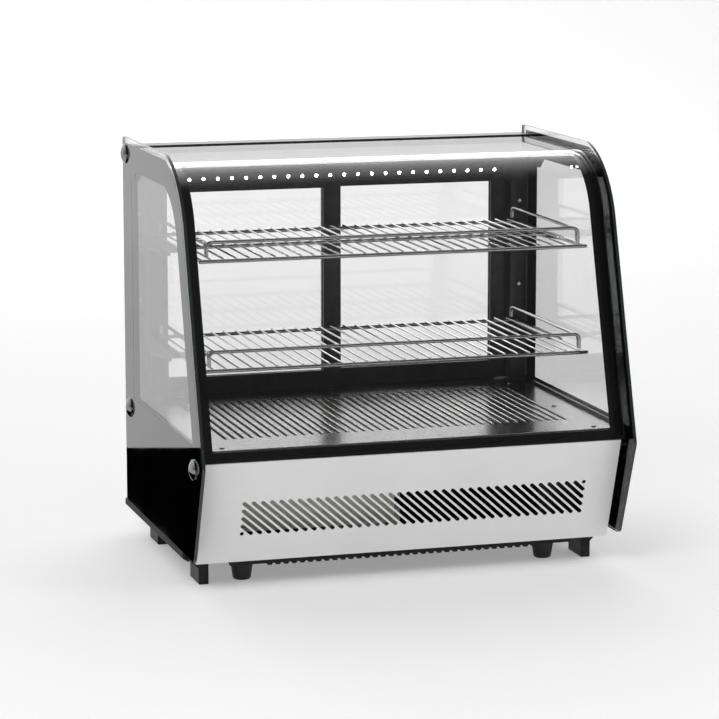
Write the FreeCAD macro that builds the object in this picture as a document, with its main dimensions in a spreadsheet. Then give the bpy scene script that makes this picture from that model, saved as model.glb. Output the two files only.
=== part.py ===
import FreeCAD, Part
import math
import os
import re
import Sketcher
from FreeCAD import Placement, Rotation, Vector

# Countertop refrigerated bakery display case.
# Millimetres, +Z up, the customer's side faces -Y, origin on the floor under the middle of the footprint.

SIZES = {
    # whole case
    "case_width": 700, "case_depth": 544, "case_height": 663, "glass_gap": 0.5,
    # glass cheeks: outline in the Y-Z plane
    "cheek_thick": 5, "cheek_rear": 258, "cheek_foot": 54, "kink_height": 210, "foot_front": -211,
    "bend_start": -47, "bend_end": -167, "bend_end_height": 560, "bend_bulge": 21,
    # curved front glass
    "pane_thick": 5, "pane_reveal": 36, "pane_drop": 15, "pane_radius": 120, "pane_rear": 226,
    "pane_foot": 216, "pane_slope": 0.3,
    # front panel and its slanting vent slots
    "sheet_thick": 1.2, "panel_top": 211, "panel_foot": 42, "panel_foot_front": -178,
    "vent_pitch": 14.6, "vent_count": 38, "vent_rise": 13.5, "vent_rows": 4, "vent_width": 6.6,
    "vent_foot": 50.5, "vent_shift": 8, "panel_half": 338,
    # deck
    "deck_height": 228, "deck_front": -223.5, "deck_rear": 221, "slot_pitch": 14, "slot_count": 41,
    "slot_width": 5, "slot_front": -140, "slot_rear": 166,
    # rear frame and sliding doors
    "frame_front": 222, "frame_rear": 256, "post_width": 29.5, "header_foot": 572, "header_top": 642.8,
    "track_ceiling": 600, "sill_top": 229, "sill_foot": 204, "groove_width": 6, "groove_depth": 12,
    "door_thick": 13, "door_front_inner": 225.5, "door_front_outer": 240, "door_foot": 231,
    "door_top": 593, "door_stile": 30, "door_head": 23, "door_overlap": 27, "door_pane": 6,
    "door_runner": 4, "pull_foot": 360, "pull_top": 460,
    # wire shelves
    "shelf_half": 315, "shelf_rear": 198, "rod_dia": 6, "wire_dia": 3.2, "wire_pitch": 20.7,
    "wire_count": 30, "guard_dia": 5.5, "guard_half": 304, "guard_rise": 29, "guard_bend": 9,
    "guard_rear": 188,
    "upper_level": 505, "upper_front": -128, "lower_level": 336, "lower_front": -140,
    # lamp strip
    "lamp_height": 594, "lamp_half": 292, "lamp_depth": 24, "lamp_tall": 20, "lamp_pitch": 24,
    "lamp_count": 24, "chip": 5,
    # base, skids and feet
    "pan_level": 42, "pan_sump": 34, "louvre_pitch": 13.2, "louvre_count": 34,
    "louvre_fall": 3, "louvre_root": 5, "louvre_depth": 60, "sump_half": 288, "sump_rear": 187,
    "wall_half": 342.5, "skid_top": 53.5, "skid_foot": 43,
    "skid_front": -139, "foot_inset": 25, "foot_width": 16, "foot_length": 55, "rear_foot_front": 142,
    "rubber_x": 250.6, "rubber_front": -119, "rubber_rear": 180, "rubber_top_radius": 18.5,
    # cap screws through the cheeks
    "cap_radius": 16, "cap_rise": 8, "shank_radius": 4, "shank_fit": 0.05,
    # rear service panel
    "service_rear": 255, "service_foot": 58, "service_top": 203,
    "control_height": 142, "gland_x": -250, "gland_height": 96, "gland_bore": 4, "gland_barrel": 8,
    # fans
    "fan_radius": 48, "chill_fan_radius": 36, "shaft_radius": 2.5, "shaft_fit": 0.05,
}

doc = FreeCAD.newDocument("bakery_display_case")
sheet = doc.addObject("Spreadsheet::Sheet", "Sizes")
for row, (alias, number) in enumerate(SIZES.items(), start=1):
    sheet.set(f"A{row}", alias)
    sheet.set(f"B{row}", str(number))
    sheet.setAlias(f"B{row}", alias)
doc.recompute()

NODES = []


def size(alias):
    """The number that the sheet holds under this alias."""
    return float(getattr(sheet, alias))


def formula(text):
    """An expression in which every alias is looked up on the sheet."""
    return re.sub(r"[A-Za-z_]+", lambda word: f"Sizes.{word.group(0)}", str(text))


def bind(item, **formulas):
    """Binds properties of an object to formulas on the sheet; a double underscore stands for a dot."""
    for name, text in formulas.items():
        item.setExpression(name.replace("__", "."), formula(text))
    return item


def node(item, label):
    """Marks an object as one of the sub-parts that are handed over."""
    item.Label = label
    NODES.append(item)
    return item


# ---------------------------------------------------------------- primitives

def box(x, y, z):
    """A block between the low and high formulas given for each axis."""
    item = doc.addObject("Part::Box", "Block")
    bind(item, Length=f"({x[1]}) - ({x[0]})", Width=f"({y[1]}) - ({y[0]})", Height=f"({z[1]}) - ({z[0]})")
    return bind(item, Placement__Base__x=x[0], Placement__Base__y=y[0], Placement__Base__z=z[0])


TURNS = {"x": Rotation(Vector(0, 1, 0), 90), "y": Rotation(Vector(1, 0, 0), -90), "z": Rotation()}


def cylinder(axis, at, radius, length):
    """A cylinder that starts at a point and runs along +x, +y or +z."""
    item = doc.addObject("Part::Cylinder", "Rod")
    item.Placement = Placement(Vector(), TURNS[axis])
    bind(item, Radius=radius, Height=length)
    return bind(item, Placement__Base__x=at[0], Placement__Base__y=at[1], Placement__Base__z=at[2])


def cone(axis, at, radius_start, radius_end, length):
    """A cone that starts at a point and runs along +x, +y or +z."""
    item = doc.addObject("Part::Cone", "Cone")
    item.Placement = Placement(Vector(), TURNS[axis])
    bind(item, Radius1=radius_start, Radius2=radius_end, Height=length)
    return bind(item, Placement__Base__x=at[0], Placement__Base__y=at[1], Placement__Base__z=at[2])


def fuse(*items):
    item = doc.addObject("Part::MultiFuse", "Joined")
    item.Shapes = list(items)
    return item


def cut(base, *tools):
    item = doc.addObject("Part::Cut", "Trimmed")
    item.Base = base
    item.Tool = tools[0] if len(tools) == 1 else fuse(*tools)
    return item


def group(*items):
    """Several separate solids that are kept as one sub-part."""
    item = doc.addObject("Part::Compound", "Set")
    item.Links = list(items)
    return item


# ---------------------------------------------------------------- sketched bodies

def outline(corners):
    """A closed wire's edges from corners (u, v, radius) or (u, v, radius, bulge of the next side)."""
    count = len(corners)
    points = [Vector(c[0], c[1], 0) for c in corners]
    ends = []
    for i, corner in enumerate(corners):
        before = (points[i - 1] - points[i]).normalize()
        after = (points[(i + 1) % count] - points[i]).normalize()
        reach = 0.0
        if corner[2] > 0:
            reach = corner[2] / math.tan(before.getAngle(after) / 2)
        ends.append((points[i] + before * reach, points[i] + after * reach, before, after))
    edges = []
    for i, corner in enumerate(corners):
        enter, leave, before, after = ends[i]
        if corner[2] > 0:
            half = before.getAngle(after) / 2
            middle = (before + after).normalize()
            crown = points[i] + middle * (corner[2] / math.sin(half) - corner[2])
            edges.append(Part.Arc(enter, crown, leave))
        target = ends[(i + 1) % count][0]
        bulge = corner[3] if len(corner) > 3 else 0.0
        if bulge:
            along = (target - leave).normalize()
            crown = (leave + target) * 0.5 + Vector(along.y, -along.x, 0) * bulge
            edges.append(Part.Arc(leave, crown, target))
        else:
            edges.append(Part.LineSegment(leave, target))
    return edges


def add_sketch(body, plane, edges, offset=0.0):
    """A sketch on one of the body's own origin planes, moved along the plane's normal."""
    sketch = body.newObject("Sketcher::SketchObject", "Sketch")
    plane_object = next(f for f in body.Origin.OriginFeatures if f.Role == plane)
    sketch.AttachmentSupport = [(plane_object, "")]
    sketch.MapMode = "FlatFace"
    sketch.AttachmentOffset = Placement(Vector(0, 0, offset), Rotation())
    sketch.addGeometry(edges, False)
    return sketch


def pad(body, sketch, length, midplane=False, reverse=False):
    feature = body.newObject("PartDesign::Pad", "Pad")
    feature.Profile = sketch
    bind(feature, Length=length)
    feature.Midplane = midplane
    feature.Reversed = reverse
    body.Tip = feature
    return feature


def pocket(body, sketch):
    """A pocket right through the body, both ways from its sketch."""
    feature = body.newObject("PartDesign::Pocket", "Pocket")
    feature.Profile = sketch
    feature.Type = 1
    feature.Midplane = True
    body.Tip = feature
    return feature


def pattern(body, feature, direction_plane, axis, pitch, count):
    """Copies of a feature in a row along a sketch axis of the feature's own sketch."""
    row = body.newObject("PartDesign::LinearPattern", "Row")
    row.Originals = [feature]
    row.Direction = (direction_plane, [axis])
    row.Mode = "Spacing"
    bind(row, Offset=pitch, Occurrences=count)
    body.Tip = row
    return row


def new_body():
    return doc.addObject("PartDesign::Body", "Body")


def slab(plane, corners, length, midplane=True, reverse=False):
    """A body that is one outline padded to a length."""
    body = new_body()
    pad(body, add_sketch(body, plane, outline(corners)), length, midplane, reverse)
    return body


def turned(profile):
    """A body made by turning a profile of (radius, height) corners about its own Z axis."""
    body = new_body()
    sketch = add_sketch(body, "XZ_Plane", outline(profile))
    feature = body.newObject("PartDesign::Revolution", "Revolution")
    feature.Profile = sketch
    feature.ReferenceAxis = (sketch, ["V_Axis"])
    feature.Angle = 360
    body.Tip = feature
    return body


def shape_feature(shape):
    item = doc.addObject("Part::Feature", "Shape")
    item.Shape = shape
    return item


# ---------------------------------------------------------------- glass

def cap_positions():
    """Where the cap screws go through a cheek: (y, z)."""
    return [(237.0, 636.0), (223.0, 216.5), (-218.0, 200.0)]


def kink_crown(radius):
    """How far rounding takes the cheek's foremost corner back from its sharp point."""
    sharp = Vector(-size("case_depth") / 2, size("kink_height"), 0)
    up = (Vector(size("bend_end"), size("bend_end_height"), 0) - sharp)
    down = (Vector(size("foot_front"), size("cheek_foot"), 0) - sharp)
    return radius * (1 / math.sin(up.getAngle(down) / 2) - 1)


def cheek_corners():
    kink_radius = 9
    front = -size("case_depth") / 2 - kink_crown(kink_radius)
    rear = size("cheek_rear")
    return [
        (rear, size("cheek_foot"), 4),
        (rear, size("case_height"), 6),
        (size("bend_start"), size("case_height"), 0, size("bend_bulge")),
        (size("bend_end"), size("bend_end_height"), 0),
        (front, size("kink_height"), kink_radius),
        (size("foot_front"), size("cheek_foot"), 11),
    ]


def shank(side, place, radius, length):
    start = "case_width / 2 - 14" if side > 0 else "-case_width / 2 - 2"
    return cylinder("x", (start, place[0], place[1]), radius, length)


def make_cheek(side, label):
    """A side glass with the holes of its cap screws."""
    corners = cheek_corners()
    plate = slab("YZ_Plane", corners, "cheek_thick")
    bind(plate, Placement__Base__x=f"{side} * (case_width / 2 - cheek_thick / 2)")
    holes = [shank(side, place, "shank_radius + shank_fit", "16") for place in cap_positions()]
    node(cut(plate, *holes), label)


def make_cap_screws():
    """Domed caps on threaded shanks: three through each cheek."""
    solids = []
    rim = 2.0
    radius, dome = size("cap_radius"), size("cap_rise") - rim
    ball = (radius ** 2 + dome ** 2) / (2 * dome)
    bulge = ball - math.sqrt(ball ** 2 - (radius ** 2 + dome ** 2) / 4)
    for side in (-1, 1):
        for y, z in cap_positions():
            profile = [
                (0, size("cap_rise"), 0), (0, -13, 0), (size("shank_radius"), -13, 0),
                (size("shank_radius"), 0, 0), (radius, 0, 0), (radius, rim, 0, bulge),
            ]
            cap = turned(profile)
            cap.Placement = Placement(Vector(side * size("case_width") / 2, y, z),
                                      Rotation(Vector(0, 1, 0), 90 * side))
            solids.append(cap)
    node(group(*solids), "side_cap_screws")


def pane_line(height, inset=0.0):
    """The front glass's straight stretch: its Y at a height, measured in from the outer face."""
    foot = -size("case_depth") / 2 + size("pane_reveal")
    slope = size("pane_slope")
    return foot + slope * (height - size("panel_top")) + inset * math.hypot(1, slope)


def make_front_glass():
    """One curved pane: front, bend and top."""
    top = size("case_height") - size("pane_drop")
    thick = size("pane_thick")
    foot = size("pane_foot")
    corners = [
        (pane_line(foot), foot, 0),
        (pane_line(top), top, size("pane_radius")),
        (size("pane_rear"), top, 0),
        (size("pane_rear"), top - thick, 0),
        (pane_line(top - thick, thick), top - thick, size("pane_radius") - thick),
        (pane_line(foot, thick), foot, 0),
    ]
    length = "case_width - 2 * (cheek_thick + glass_gap)"
    node(slab("YZ_Plane", corners, length), "front_glass")


def make_seals():
    """The gasket under the front glass and the two strips at the foot of the cheeks."""
    foot = size("pane_foot")
    base = size("panel_top") + 0.2
    corners = [
        (pane_line(base) - 0.5, base, 0), (pane_line(base) + 11, base, 0),
        (pane_line(foot) + 11, foot + 9, 1), (pane_line(foot + 9, 5.2), foot + 9, 0),
        (pane_line(foot - 0.2, 5.2), foot - 0.2, 0), (pane_line(foot - 0.2) - 0.5, foot - 0.2, 0),
    ]
    node(slab("YZ_Plane", corners, "case_width - 2 * (cheek_thick + glass_gap)"), "front_glass_seal")
    strips = []
    near, far = "case_width / 2 - cheek_thick - 5.2", "case_width / 2 - cheek_thick - 0.2"
    for across in ((near, far), (f"-({far})", f"-({near})")):
        strips.append(box(across, ("-186", "frame_front - 1"), ("deck_height + 0.1", "deck_height + 5")))
    node(group(*strips), "side_glass_seals")


# ---------------------------------------------------------------- rear frame

def groove(front, foot, ceiling):
    """The space that a door's runner needs in a track."""
    middle = f"{front} + door_thick / 2"
    return box(("-case_width / 2 + 36", "case_width / 2 - 36"),
               (f"{middle} - groove_width / 2", f"{middle} + groove_width / 2"), (foot, ceiling))


def frame_shanks(places):
    """Clearance holes for the cap screws in a part between the cheeks."""
    return [shank(side, place, "shank_radius + shank_fit", "16") for side in (-1, 1) for place in places]


def make_rear_frame():
    half = "case_width / 2 - cheek_thick - glass_gap"
    full = (f"-({half})", half)
    block = fuse(
        box(full, ("frame_front", "frame_rear"), ("track_ceiling", "header_top")),
        box(full, ("frame_front", "frame_front + 2.5"), ("header_foot", "track_ceiling")),
        box(full, ("frame_rear - 2", "frame_rear"), ("door_top - 6", "track_ceiling")))
    ceiling = "track_ceiling + groove_depth"
    header = cut(block, groove("door_front_inner", "track_ceiling - 1", ceiling),
                 groove("door_front_outer", "track_ceiling - 1", ceiling),
                 *frame_shanks(cap_positions()[:1]))
    node(header, "rear_header")

    floor = "sill_top - groove_depth + 4"
    block = box(full, ("frame_front", "frame_rear"), ("sill_foot", "sill_top"))
    sill = cut(block, groove("door_front_inner", floor, "sill_top + 1"),
               groove("door_front_outer", floor, "sill_top + 1"), *frame_shanks(cap_positions()[1:2]))
    node(sill, "rear_sill")

    for side, label in ((-1, "rear_post_left"), (1, "rear_post_right")):
        low = f"-({half})" if side < 0 else f"{half} - post_width"
        high = f"-({half}) + post_width" if side < 0 else half
        front = box((low, high), ("frame_front + 3", "frame_rear - 2.5"), ("sill_top", "track_ceiling"))
        hooks = []
        for level in ("upper_level", "lower_level"):
            middle = f"{side} * 330"
            hooks.append(box((f"{middle} - 1.7", f"{middle} + 1.7"), ("frame_front", "frame_front + 9"),
                             (f"{level} - 24", f"{level} - 6")))
        screws = [cylinder("y", (f"{side} * 330", "frame_front", z), "2.55", "14") for z in ("537", "394")]
        node(cut(front, *hooks, *screws), label)

    screws = []
    for side in (-1, 1):
        for z in ("537", "394"):
            at = f"{side} * 330"
            head = cone("y", (at, "frame_front + 0.9", z), "2.6", "4.2", "2.05")
            body = cylinder("y", (at, "frame_front + 2.9", z), "2.5", "10")
            screws.append(fuse(head, body))
    node(group(*screws), "post_screws")

    trim = fuse(
        box(full, ("pane_rear + 0.3", "frame_rear"), ("header_top + 0.2", "header_top + 7.2")),
        box(full, ("pane_rear - 8", "pane_rear + 0.3"), ("header_top + 5.5", "header_top + 7.2")))
    node(trim, "top_rear_trim")


def make_lamp():
    """A hollow aluminium housing on the header with a board of light-emitting chips in its front."""
    front = "frame_front - lamp_depth"
    tall = ("lamp_height - lamp_tall / 2", "lamp_height + lamp_tall / 2")
    inner = ("lamp_height - lamp_tall / 2 + 1.5", "lamp_height + lamp_tall / 2 - 1.5")
    recess = box(("-lamp_half + 1", "lamp_half - 1"), (f"{front} - 1", f"{front} + 5"), inner)
    hollow = box(("-lamp_half - 1", "lamp_half + 1"), (f"{front} + 7", "frame_front - 1.5"), inner)
    housing = box(("-lamp_half", "lamp_half"), (front, "frame_front"), tall)
    node(cut(housing, recess, hollow), "lamp_channel")
    chips = [box(("-lamp_half + 1.2", "lamp_half - 1.2"), (f"{front} + 3.4", f"{front} + 5"),
                 ("lamp_height - 6", "lamp_height + 6"))]
    first = -(size("lamp_count") - 1) / 2
    for i in range(int(size("lamp_count"))):
        at = f"{first + i} * lamp_pitch"
        chips.append(box((f"{at} - chip / 2", f"{at} + chip / 2"), (f"{front} + 1.6", f"{front} + 3.4"),
                         ("lamp_height - chip / 2", "lamp_height + chip / 2")))
    node(fuse(*chips), "lamp_board")


# ---------------------------------------------------------------- doors

def make_door(name, low, high, front, pull_low):
    """A glazed sliding door: frame with runners, pane and a flush pull in its outer stile."""
    across = (low, high)
    rear = f"{front} + door_thick"
    middle = f"{front} + door_thick / 2"
    runner = (f"{middle} - door_runner / 2", f"{middle} + door_runner / 2")
    outside = fuse(
        box(across, (front, rear), ("door_foot", "door_top")),
        box((f"{low} + 20", f"{high} - 20"), runner, ("sill_top - 7.5", "door_foot")),
        box((f"{low} + 20", f"{high} - 20"), runner, ("door_top", "track_ceiling + 6")))
    sides = (f"{low} + door_stile", f"{high} - door_stile")
    levels = ("door_foot + door_stile", "door_top - door_head")
    bead = 7
    window = box(sides, (f"{front} - 1", f"{rear} + 1"), levels)
    seat = box((f"{sides[0]} - {bead}", f"{sides[1]} + {bead}"),
               (f"{middle} - door_pane / 2 - 0.1", f"{middle} + door_pane / 2 + 0.1"),
               (f"{levels[0]} - {bead}", f"{levels[1]} + {bead}"))
    pull_x = (f"{pull_low}", f"{pull_low} + 16")
    recess = box(pull_x, (f"{rear} - 3", f"{rear} + 1"), ("pull_foot", "pull_top"))
    node(cut(outside, window, seat, recess), f"{name}_frame")
    reach = bead - 0.2
    node(box((f"{sides[0]} - {reach}", f"{sides[1]} + {reach}"),
             (f"{middle} - door_pane / 2", f"{middle} + door_pane / 2"),
             (f"{levels[0]} - {reach}", f"{levels[1]} + {reach}")), f"{name}_glass")
    dish = box((f"{pull_low} + 1.5", f"{pull_low} + 14.5"), (f"{rear} - 2", f"{rear} + 1"),
               ("pull_foot + 1.5", "pull_top - 1.5"))
    cup = cut(box(pull_x, (f"{rear} - 3", rear), ("pull_foot", "pull_top")), dish)
    node(cup, f"{name}_pull")


def make_doors():
    make_door("left_door", "-314", "door_overlap / 2", "door_front_inner", "-307")
    make_door("right_door", "-door_overlap / 2", "314", "door_front_outer", "291")


# ---------------------------------------------------------------- shelves

def rod(start, end, radius):
    way = end - start
    return Part.makeCylinder(radius, way.Length, start, way)


def make_shelf(name, level_alias, front_alias):
    """A wire grid: a rod frame with wires welded across it, each wire's front end turned down."""
    level = size(level_alias)
    front = size(front_alias)
    rear = size("shelf_rear")
    half = size("shelf_half")
    radius = size("rod_dia") / 2
    wire = size("wire_dia") / 2
    weld = 0.6
    rods = [
        rod(Vector(-half, front, level), Vector(half, front, level), radius),
        rod(Vector(-half, rear, level), Vector(half, rear, level), radius),
        rod(Vector(-half, (front + rear) / 2, level), Vector(half, (front + rear) / 2, level), radius),
    ]
    for side in (-1, 1):
        x = side * (half - radius)
        rods.append(rod(Vector(x, front - 1, level), Vector(x, rear + 1, level), radius))
    for end_x in (-half, half):
        for end_y in (front, rear):
            rods.append(Part.makeSphere(radius, Vector(end_x, end_y, level)))
    top = level + radius + wire - weld
    first = -(size("wire_count") - 1) / 2
    for i in range(int(size("wire_count"))):
        x = (first + i) * size("wire_pitch")
        rods.append(rod(Vector(x, front - 1.5, top), Vector(x, rear + 3.5, top), wire))
    grid = rods[0].multiFuse(rods[1:])
    node(shape_feature(grid), f"{name}_shelf_grid")


def bent_rod(points, bend, radius):
    """A round rod along straight runs joined by arcs."""
    edges = []
    last = points[0]
    for before, corner, after in zip(points, points[1:], points[2:]):
        entry = (before - corner).normalize()
        leave = (after - corner).normalize()
        reach = bend / math.tan(entry.getAngle(leave) / 2)
        half = entry.getAngle(leave) / 2
        crown = corner + (entry + leave).normalize() * (bend / math.sin(half) - bend)
        start = corner + entry * reach
        end = corner + leave * reach
        edges.append(Part.LineSegment(last, start).toShape())
        edges.append(Part.Arc(start, crown, end).toShape())
        last = end
    edges.append(Part.LineSegment(last, points[-1]).toShape())
    path = Part.Wire(edges)
    circle = Part.Wire(Part.Edge(Part.Circle(points[0], points[1] - points[0], radius)))
    return path.makePipeShell([circle], True, True)


def make_guard(name, level_alias, front_alias):
    """The raised rail of a shelf: a front hoop and one along each side, welded where they meet."""
    level = size(level_alias)
    front = size(front_alias) + 6
    rear = size("guard_rear")
    half = size("guard_half")
    radius = size("guard_dia") / 2
    foot = level + size("rod_dia") / 2 + size("wire_dia") + radius - 0.9
    top = level + size("guard_rise")
    hoops = [bent_rod([
        Vector(-half, front - 1, level + 6), Vector(-half, front - 1, top),
        Vector(half, front - 1, top), Vector(half, front - 1, level + 6)], size("guard_bend"), radius)]
    near = front + 1.4 * radius
    for side in (-1, 1):
        x = side * half
        hoops.append(bent_rod([
            Vector(x, rear, foot), Vector(x, rear, top - 3),
            Vector(x, near, top - 3), Vector(x, near, foot)], size("guard_bend"), radius))
    node(shape_feature(hoops[0].multiFuse(hoops[1:])), f"{name}_shelf_guard")


def make_brackets():
    """Flat cantilever brackets that hook into the rear posts and carry the shelves' side rods."""
    items = []
    for level_alias in ("upper_level", "lower_level"):
        top = size(level_alias) - size("rod_dia") / 2
        face = size("frame_front") + 3
        for side in (-1, 1):
            corners = [
                (15, top - 6, 2), (15, top - 0.02, 0), (face - 8, top - 0.02, 0), (face - 8, top - 5, 0),
                (face + 5, top - 5, 0), (face + 5, top - 20, 0), (face - 6, top - 20, 4),
            ]
            plate = slab("YZ_Plane", corners, "3")
            plate.Placement = Placement(Vector(side * 330, 0, 0), Rotation())
            low = f"{min(side * 310.0, side * 330.0)}"
            high = f"{max(side * 310.0, side * 330.0)}"
            z = (f"{level_alias} - rod_dia / 2 - 2.02", f"{level_alias} - rod_dia / 2 - 0.02")
            items.append(fuse(plate, box((low, high), ("20", "190"), z)))
    node(group(*items), "shelf_brackets")


# ---------------------------------------------------------------- deck and base

def make_deck():
    """The slotted stainless deck, turned down at its front edge."""
    body = new_body()
    front, rear = size("deck_front"), size("deck_rear")
    half = size("case_width") / 2 - size("cheek_thick") - 1.5
    thick = size("sheet_thick")
    top = size("deck_height")
    corners = [
        (front, top, 3), (rear, top, 0), (rear, top - thick, 0), (front + thick, top - thick, 1.8),
        (front + thick, top - 12, 0), (front, top - 12, 0),
    ]
    pad(body, add_sketch(body, "YZ_Plane", outline(corners)), f"{2 * half}", True)
    width = size("slot_width")
    first = -(size("slot_count") - 1) / 2 * size("slot_pitch")
    rounding = width / 2 - 0.01
    near, far = size("slot_front"), size("slot_rear")
    slot = [(first - width / 2, near, rounding), (first + width / 2, near, rounding),
            (first + width / 2, far, rounding), (first - width / 2, far, rounding)]
    sketch = add_sketch(body, "XY_Plane", outline(slot))
    opening = pocket(body, sketch)
    pattern(body, opening, sketch, "H_Axis", "slot_pitch", "slot_count")
    places = [(x, y) for x in (-303, 303) for y in (-205, -25, 190)]
    holes = [cylinder("z", (x, y, "deck_height - 5"), "2.3", "10") for x, y in places]
    node(cut(body, *holes), "deck_panel")
    screws = [fuse(cylinder("z", (x, y, "deck_height - 9"), "2.2", "9"),
                   cone("z", (x, y, "deck_height"), "4.5", "3.2", "1.6")) for x, y in places]
    node(group(*screws), "deck_screws")


def panel_lean():
    """The front panel's lean from upright, in radians."""
    run = -size("case_depth") / 2 + size("pane_reveal") - size("panel_foot_front")
    return math.atan2(-run, size("panel_top") - size("panel_foot"))


def vent_slot(start_col, start_row, steps):
    """One slanting vent slot: from a grid point, a number of steps down to the right."""
    pitch, rise = size("vent_pitch"), size("vent_rise")
    first = -size("vent_count") / 2 * pitch + size("vent_shift")
    top = size("vent_foot") + size("vent_rows") * rise
    start = Vector(first + start_col * pitch, top - start_row * rise, 0)
    end = start + Vector(pitch, -rise, 0) * steps
    radius = size("vent_width") / 2
    if steps == 0:
        return [Part.Circle(start, Vector(0, 0, 1), radius)]
    along = (end - start).normalize()
    across = Vector(-along.y, along.x, 0) * radius
    return [
        Part.LineSegment(start + across, end + across),
        Part.Arc(end + across, end + along * radius, end - across),
        Part.LineSegment(end - across, start - across),
        Part.Arc(start - across, start - along * radius, start + across),
    ]


def make_front_panel():
    """The slotted front sheet with its top and bottom edges folded back."""
    body = new_body()
    lean = panel_lean()
    rise = (size("panel_top") - size("panel_foot")) / math.cos(lean)
    thick = size("sheet_thick")

    def fold(depth, height):
        return depth * math.cos(lean), height - depth * math.sin(lean)

    corners = [
        (0, 0, 1.5), (0, rise, 1.5), (*fold(20, rise), 0),
        (fold(20, rise)[0] + thick * math.sin(lean), fold(20, rise)[1] - thick * math.cos(lean), 0),
        (thick, rise - thick / math.cos(lean) - thick * math.tan(lean), 0),
        (thick, thick / math.cos(lean) - thick * math.tan(lean), 0),
        (fold(14, 0)[0], fold(14, 0)[1] + thick / math.cos(lean), 0), (*fold(14, 0), 0),
    ]
    pad(body, add_sketch(body, "YZ_Plane", outline(corners)), "2 * panel_half", True)
    rows = int(size("vent_rows"))
    count = int(size("vent_count"))
    sketch = add_sketch(body, "XZ_Plane", vent_slot(0, 0, rows))
    opening = pocket(body, sketch)
    pattern(body, opening, sketch, "H_Axis", "vent_pitch", "vent_count - vent_rows + 1")
    short = []
    for step in range(1, rows + 1):
        short += vent_slot(0, step, rows - step)
        short += vent_slot(count - rows + step, 0, rows - step)
    pocket(body, add_sketch(body, "XZ_Plane", short))
    body.Placement = Placement(Vector(0, size("panel_foot_front"), size("panel_foot")),
                               Rotation(Vector(1, 0, 0), math.degrees(lean)))
    node(body, "front_panel")


def make_base_pan():
    """The base: a floor with a sump, two upright side walls and a row of underside louvres."""
    half = size("wall_half")
    thick = size("sheet_thick")
    foot = size("pan_level")
    inset = 4
    lean = math.tan(panel_lean())
    front = size("panel_foot_front") + inset
    top = size("sill_foot") - 1
    wall = [(front + 12, foot, 0), (249, foot, 0), (249, top, 0), (front - lean * (top - foot) + 3, top, 0),
            (front - lean * 25 + 3, foot + 25, 0)]
    walls = []
    for side in (-1, 1):
        plate = slab("YZ_Plane", wall, "sheet_thick")
        plate.Placement = Placement(Vector(side * (half - thick / 2), 0, 0), Rotation())
        walls.append(plate)
    floor = box(("-wall_half", "wall_half"), (f"{front + 12}", "249"),
                ("pan_level", "pan_level + sheet_thick"))
    low = size("pan_sump")
    half_sump = size("sump_half")
    front_sump, rear_sump = front + 12, size("sump_rear")
    sump = slab("XZ_Plane", [(-half_sump, foot + 1, 0), (half_sump, foot + 1, 0), (half_sump - 8, low, 2),
                             (8 - half_sump, low, 2)], f"{rear_sump - front_sump}")
    hollow = slab("XZ_Plane", [(2 - half_sump, foot + 4, 0), (half_sump - 2, foot + 4, 0),
                               (half_sump - 9.5, low + 1.4, 1), (9.5 - half_sump, low + 1.4, 1)],
                  f"{rear_sump - front_sump - 3}")
    for part in (sump, hollow):
        part.Placement = Placement(Vector(0, (front_sump + rear_sump) / 2, 0), Rotation())
    nose = box(("6 - sump_half", "sump_half - 6"), (f"{front_sump - 6}", f"{front_sump + 0.5}"),
               ("pan_sump", "pan_level - 0.2"))
    louvres = []
    for i in range(int(size("louvre_count"))):
        x = (i - (size("louvre_count") - 1) / 2) * size("louvre_pitch")
        root, tip = size("louvre_root"), size("louvre_root") - 2
        fall = low - size("louvre_fall")
        louvre = slab("XZ_Plane", [(x - root, low + 0.5, 0), (x + root, low + 0.5, 0),
                                   (x + tip, fall, 1), (x - tip, fall, 1)], "louvre_depth")
        louvre.Placement = Placement(Vector(0, front_sump + size("louvre_depth") / 2 - 6, 0), Rotation())
        louvres.append(louvre)
    shell = cut(fuse(floor, sump, nose, *walls), hollow)
    holes = frame_shanks(cap_positions()[2:])
    node(cut(fuse(shell, *louvres), *holes), "base_pan")


def make_skid(side, label):
    """A moulded side rail with two feet, each foot braced outwards."""
    edge = size("case_width") / 2
    inset = size("foot_inset")
    inner = edge - inset - size("foot_width")
    top, under = size("skid_top"), size("skid_foot")
    shelf = size("pan_level") - 0.2
    wall = size("wall_half") + 0.4
    rail = [(edge, top, 1.5), (edge, under, 1), (edge - 8, under - 5, 1), (inner, under - 5, 0),
            (inner, shelf, 0), (wall, shelf, 0), (wall, top, 0)]
    leg = [(edge - 12, under - 4.5, 0), (edge - inset, under - 17, 4), (edge - inset, 0, 2), (inner, 0, 2),
           (inner, under - 4.5, 0)]
    rail = [(x * side, z, r) for x, z, r in rail]
    leg = [(x * side, z, r) for x, z, r in leg]
    body = new_body()
    pad(body, add_sketch(body, "XZ_Plane", outline(rail)), "case_depth / 2 - skid_front")
    for front in (size("skid_front"), size("rear_foot_front")):
        start = size("case_depth") / 2 - (front + size("foot_length"))
        pad(body, add_sketch(body, "XZ_Plane", outline(leg), start), "foot_length")
    body.Placement = Placement(Vector(0, size("case_depth") / 2, 0), Rotation())
    node(body, label)


def make_rubber_feet():
    top = size("pan_sump")
    radius = size("rubber_top_radius")
    profile = [(0, top, 0), (0, 0, 0), (radius - 4.5, 0, 5), (radius, top - 3, 1), (radius, top, 0)]
    for x_side, x_name in ((-1, "left"), (1, "right")):
        for alias, y_name in (("rubber_front", "front"), ("rubber_rear", "rear")):
            foot = turned(profile)
            foot.Placement = Placement(Vector(x_side * size("rubber_x"), size(alias), 0), Rotation())
            node(foot, f"rubber_foot_{y_name}_{x_name}")


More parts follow.
